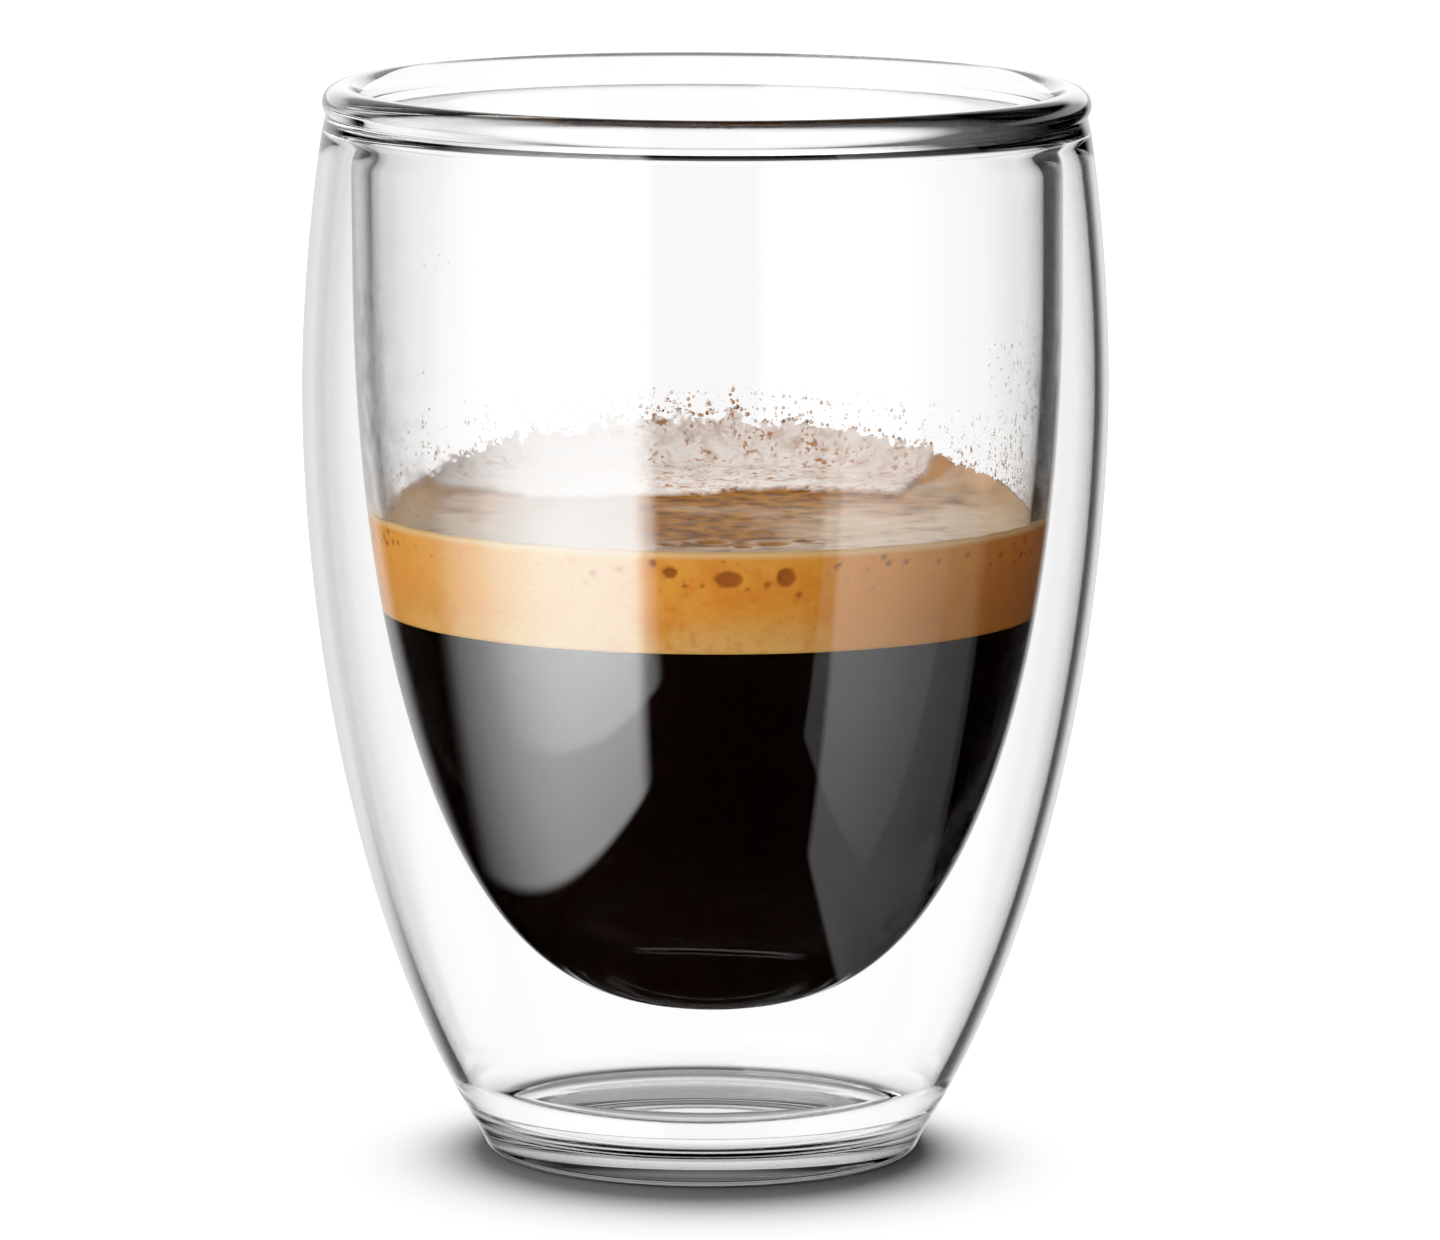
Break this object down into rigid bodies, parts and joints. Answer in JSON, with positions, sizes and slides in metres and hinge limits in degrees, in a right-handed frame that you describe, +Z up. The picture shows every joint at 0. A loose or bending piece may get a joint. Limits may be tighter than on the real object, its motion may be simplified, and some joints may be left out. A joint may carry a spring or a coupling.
{
  "type": "double espresso in a double-wall glass",
  "caption": "Tulip-shaped double-wall glass with a rounded inner bowl that holds black coffee under a deep layer of crema.",
  "frame": {"origin": "on the table, under the middle of the glass's foot ring", "axes": "+Z up through the glass, -Y towards the viewer of the picture, +X to the viewer's right"},
  "size_m": [0.064, 0.064, 0.0853],
  "materials": {
    "clear_glass": "clear, smooth, fire-polished",
    "black_coffee": "liquid, glossy, nearly black",
    "crema_foam": "fine foam, satin, golden brown"
  },
  "bodies": {
    "root": {"glass": "clear_glass", "coffee": "black_coffee", "crema": "crema_foam"}
  },
  "joints": []
}
